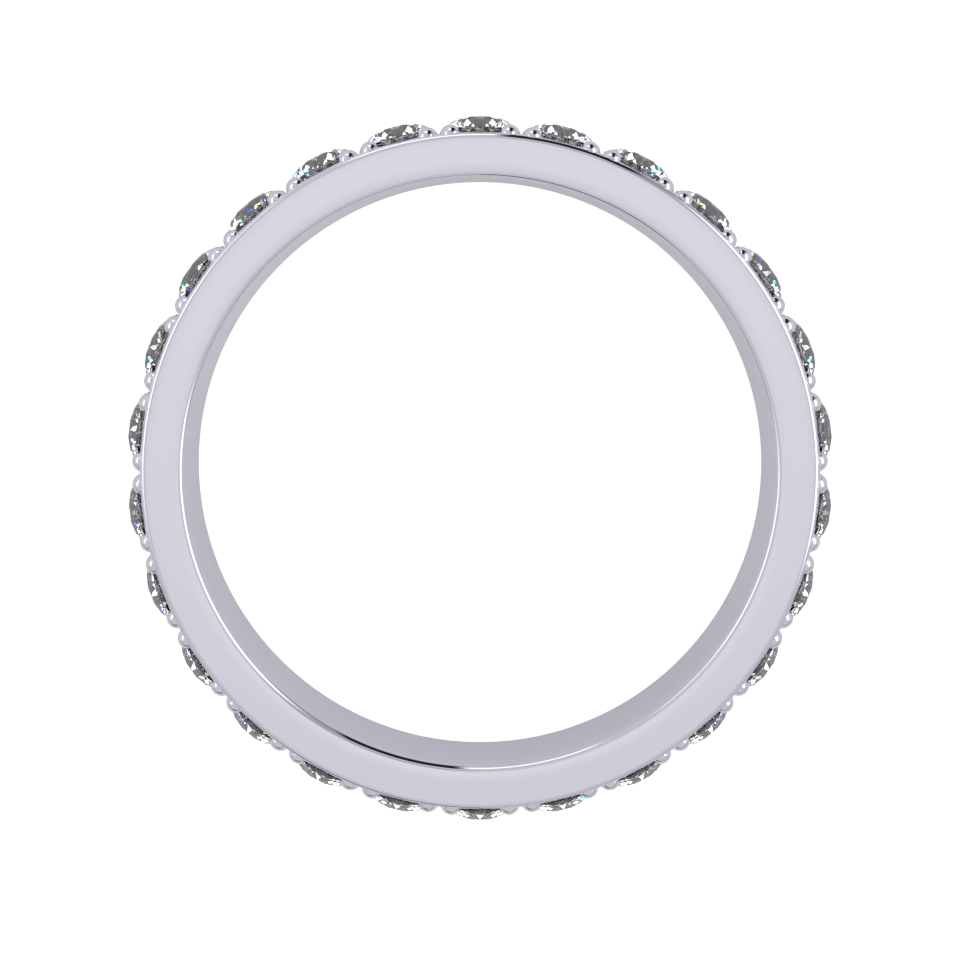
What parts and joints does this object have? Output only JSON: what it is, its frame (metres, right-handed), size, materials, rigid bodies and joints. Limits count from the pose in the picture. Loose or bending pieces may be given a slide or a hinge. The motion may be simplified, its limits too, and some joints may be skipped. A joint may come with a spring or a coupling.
{
  "type": "eternity wedding ring",
  "caption": "Flat-sided white metal finger ring with a plain bore, set all round its rim with round brilliant stones held by small bead prongs.",
  "frame": {"origin": "middle of the flat side that the ring rests on, on the finger hole's axis", "axes": "+Z along the finger hole's axis, up from the resting side; one stone is centred on +Y and one on -Y"},
  "size_m": [0.0204, 0.0204, 0.0024],
  "materials": {
    "white_metal": "polished white gold",
    "diamond": "clear, faceted"
  },
  "bodies": {
    "root": {"band": "white_metal", "stone_01": "diamond", "stone_02": "diamond", "stone_03": "diamond", "stone_04": "diamond", "stone_05": "diamond", "stone_06": "diamond", "stone_07": "diamond", "stone_08": "diamond", "stone_09": "diamond", "stone_10": "diamond", "stone_11": "diamond", "stone_12": "diamond", "stone_13": "diamond", "stone_14": "diamond", "stone_15": "diamond", "stone_16": "diamond", "stone_17": "diamond", "stone_18": "diamond", "stone_19": "diamond", "stone_20": "diamond", "stone_21": "diamond", "stone_22": "diamond", "stone_23": "diamond", "stone_24": "diamond", "stone_25": "diamond", "stone_26": "diamond"}
  },
  "joints": []
}
